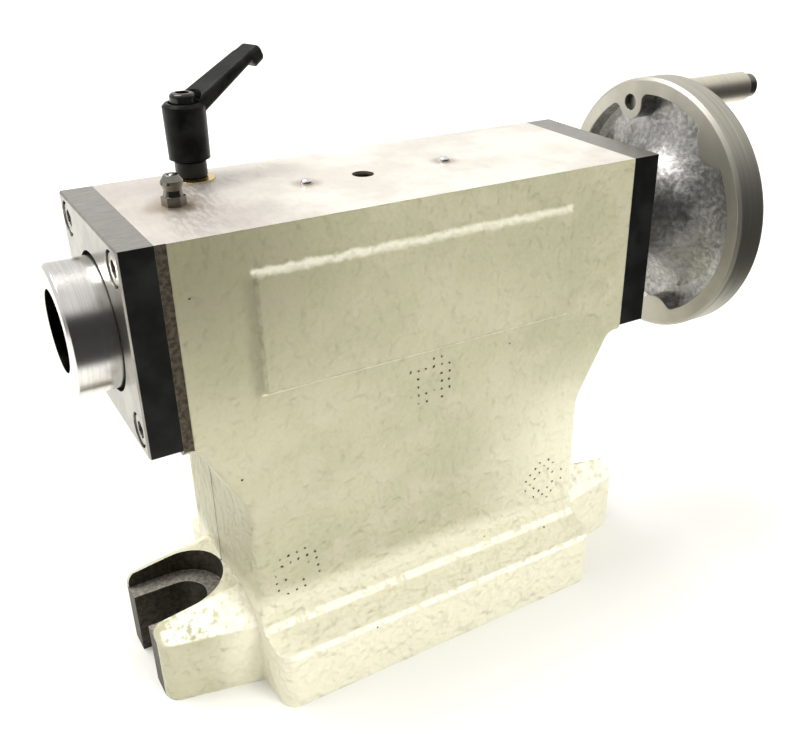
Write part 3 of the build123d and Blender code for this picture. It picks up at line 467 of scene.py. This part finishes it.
def wheel_aluminium():
    """Cast dish with a coarse sparkle, and a turned and polished rim."""
    s = Shade("wheel_cast_aluminium", metallic=1.0)
    radius = s.reach(y=0, z=AXIS_Z)
    outside = s.step(radius, RIM_INNER_RADIUS - 0.0001, RIM_INNER_RADIUS + 0.0002)
    face = s.step(s.x, RIM_FACE_X + 0.0003, RIM_FACE_X + 0.0002)
    rim = s.either(outside, s.both(face, s.step(radius, 0.030, 0.031)))
    coarse = s.noise(520.0, 5.0, 0.65)
    cloud = s.noise(45.0, 4.0, 0.6)
    cast = s.mix(s.step(coarse, 0.35, 0.68), (0.36, 0.355, 0.345), (0.66, 0.65, 0.635))
    cast = s.mix(s.math("MULTIPLY", s.step(cloud, 0.46, 0.70), 0.6), cast, (0.22, 0.215, 0.225))
    turned = s.noise(1.0, 4.0, 0.65, s.scaled(1800.0, 22.0, 22.0))
    tone = s.mix(s.step(turned, 0.30, 0.72), (0.55, 0.53, 0.465), (0.40, 0.385, 0.33))
    tone = s.mix(s.math("MULTIPLY", s.step(cloud, 0.5, 0.75), 0.45), tone, (0.50, 0.47, 0.41))
    s.set("Base Color", s.mix(rim, cast, tone))
    s.set("Roughness", s.blend(rim, s.blend(coarse, 0.34, 0.52), s.blend(turned, 0.44, 0.60)))
    rough = s.math("SUBTRACT", 1.0, rim)
    s.bump((s.both(coarse, rough), 0.00028), (s.both(s.noise(95.0, 2.0), rough), 0.0012),
           (turned, 0.000012), edge=0.0005)
    return s.mat


def rubber():
    s = Shade("wiper_black_rubber", roughness=0.6)
    fine = s.noise(1400.0, 3.0, 0.6)
    s.set("Base Color", s.mix(fine, (0.012, 0.012, 0.012), (0.032, 0.031, 0.030)))
    s.bump((fine, 0.00004), edge=0.0003)
    return s.mat


def dress():
    """Gives each CAD node its material."""
    bright = plain_metal("bright_hardened_steel", (0.74, 0.73, 0.71), 0.22, mottle=0.18)
    bronze = plain_metal("turned_bronze", (0.56, 0.37, 0.17), 0.32)
    black = plain_metal("black_oxide_steel", (0.014, 0.014, 0.013), 0.34, metallic=0.3)
    looks = {
        "nose_plate": ground_plate("nose_plate_steel", NOSE_FACE_X, -1),
        "rear_plate": ground_plate("rear_plate_steel", REAR_FACE_X, 1),
        "nose_plate_screws": plain_metal("worn_screw_steel", (0.42, 0.40, 0.37), 0.34),
        "rear_plate_screws": black,
        "quill_wiper": rubber(),
        "rear_bush": bronze,
        "feed_nut": bronze,
        "thrust_washers": bright,
        "thrust_bearing": bright,
        "feed_nut_pin": bright,
        "handwheel_key": bright,
        "handwheel_washer": bright,
        "handwheel_nut": bright,
        "dowel_pins": plain_metal("dowel_pin_steel", (0.80, 0.79, 0.77), 0.16, mottle=0.1),
        "nipple_ball": bright,
        "lever_spring": bright,
        "quill": quill_steel(),
        "feed_screw": ground_steel("feed_screw_steel", (0.62, 0.60, 0.57), 0.26),
        "handle_grip": ground_steel("grip_turned_steel", (0.74, 0.70, 0.59), 0.46, ring_scale=1500.0),
        "handle_spindle": plain_metal("spindle_dark_steel", (0.22, 0.21, 0.18), 0.36),
        "handwheel": wheel_aluminium(),
        "upper_lock_plug": plain_metal("turned_brass", (0.86, 0.66, 0.30), 0.24, mottle=0.15),
        # Painted shade: the plug below takes a darker copy of the brass
        "lower_lock_plug": plain_metal("shaded_brass_below", (0.80, 0.62, 0.30), 0.28, mottle=0.15),
        "clamp_stud": black,
        "lever_screw": plain_metal("glossy_black_steel", (0.010, 0.010, 0.009), 0.16, metallic=0.2),
        "quill_key_screw": black,
        "clamp_lever": black_lever(),
        "grease_nipple": plain_metal("nipple_zinc_steel", (0.22, 0.21, 0.18), 0.13, mottle=0.10,
                                     grain=0.000008),
    }
    for name, material in looks.items():
        mesh = nodes[name].data
        mesh.materials.clear()
        mesh.materials.append(material)


def camera():
    data = bpy.data.cameras.new("photo_camera")
    data.sensor_width = 36.0
    data.lens = LENS_PX / IMAGE_WIDTH * data.sensor_width
    data.shift_x = -CENTRE_SHIFT_PX / IMAGE_WIDTH
    data.clip_start = 0.01
    az, el, roll = CAMERA_AZIMUTH, CAMERA_ELEVATION, CAMERA_ROLL
    back = Vector((math.sin(az) * math.cos(el), -math.cos(az) * math.cos(el), math.sin(el)))
    level = Vector((math.cos(az), math.sin(az), 0.0))
    lift = back.cross(level)
    right = level * math.cos(roll) + lift * math.sin(roll)
    up = lift * math.cos(roll) - level * math.sin(roll)
    turn = Matrix((right, up, back)).transposed().to_4x4()
    cam = bpy.data.objects.new("photo_camera", data)
    cam.matrix_world = Matrix.Translation(CAMERA_PLACE) @ turn
    bpy.context.scene.collection.objects.link(cam)
    bpy.context.scene.camera = cam


def floor():
    """White floor that also lights the object; its far front is dark in reflections."""
    mesh = bpy.data.meshes.new("floor")
    half = 4.0
    corners = [(-half, -half, 0), (half, -half, 0), (half, half, 0), (-half, half, 0)]
    mesh.from_pydata(corners, [], [(0, 1, 2, 3)])
    obj = bpy.data.objects.new("floor", mesh)
    bpy.context.scene.collection.objects.link(obj)
    s = Shade("floor_white", roughness=0.9, specular=0.0)
    rays = s.node("ShaderNodeLightPath").outputs
    far = s.step(s.math("ADD", s.y, s.math("MULTIPLY", s.x, -0.25)), -0.075, -0.150)
    dark = s.both(rays["Is Glossy Ray"], far)
    pale = s.mix(s.noise(3.0), (0.80, 0.80, 0.78), (0.82, 0.82, 0.80))
    pale = s.mix(rays["Is Camera Ray"], pale, (0.70, 0.695, 0.665))
    s.set("Base Color", s.mix(dark, pale, (0.03, 0.03, 0.03)))
    s.set("Emission Color", (1.0, 0.99, 0.96))
    s.set("Emission Strength", s.math("MULTIPLY", s.math("SUBTRACT", 1.0, dark), FLOOR_GLOW))
    mesh.materials.append(s.mat)


def sun(name, energy, angle, colour, toward):
    """A soft distant lamp that stands in the direction toward."""
    data = bpy.data.lights.new(name, "SUN")
    data.energy = energy
    data.angle = math.radians(angle)
    data.color = colour
    lamp = bpy.data.objects.new(name, data)
    lamp.rotation_euler = Vector(toward).to_track_quat("Z", "Y").to_euler()
    bpy.context.scene.collection.objects.link(lamp)
    return lamp


def light():
    sun("soft_key", 2.5, 34, (1.0, 0.985, 0.96), (-0.24, 0.34, 0.90))
    fill = sun("front_fill", 1.70, 26, (1.0, 1.0, 1.0), (0.30, -0.68, 0.67))
    fill.visible_glossy = False


def world():
    """White to the camera; to the object a bright ceiling over a room that is darker in front."""
    studio = bpy.data.worlds.new("studio")
    bpy.context.scene.world = studio
    studio.use_nodes = True
    tree = studio.node_tree
    tree.nodes.clear()

    def node(kind, inputs, **settings):
        n = tree.nodes.new(kind)
        for key, value in settings.items():
            setattr(n, key, value)
        for index, value in inputs.items():
            if isinstance(value, bpy.types.NodeSocket):
                tree.links.new(value, n.inputs[index])
            else:
                n.inputs[index].default_value = value
        return n

    rays = node("ShaderNodeLightPath", {}).outputs
    coord = node("ShaderNodeTexCoord", {}).outputs["Generated"]
    _, y, z = node("ShaderNodeSeparateXYZ", {0: coord}).outputs
    tilt = node("ShaderNodeMath", {0: y, 1: rays["Is Glossy Ray"]}, operation="MULTIPLY").outputs[0]
    height = node("ShaderNodeMath", {0: tilt, 1: 0.7, 2: z}, operation="MULTIPLY_ADD").outputs[0]
    lift = node("ShaderNodeMapRange", {0: height, 1: 0.02, 2: 0.42, 3: 0.05, 4: 0.92},
                interpolation_type="SMOOTHSTEP").outputs[0]
    side = node("ShaderNodeMapRange", {0: y, 1: -0.6, 2: 0.6, 3: 0.0, 4: 0.75}).outputs[0]
    strength = node("ShaderNodeMath", {0: lift, 1: side}, operation="MAXIMUM").outputs[0]
    room = node("ShaderNodeBackground", {0: (1.0, 0.99, 0.97, 1.0), 1: strength}).outputs[0]
    seen = node("ShaderNodeBackground", {0: (1.0, 1.0, 1.0, 1.0), 1: 1.0}).outputs[0]
    mixed = node("ShaderNodeMixShader", {0: rays["Is Camera Ray"], 1: room, 2: seen}).outputs[0]
    node("ShaderNodeOutputWorld", {0: mixed})


bpy.context.scene.view_settings.view_transform = "Standard"
camera()
dress()
dress_casting()
floor()
light()
world()
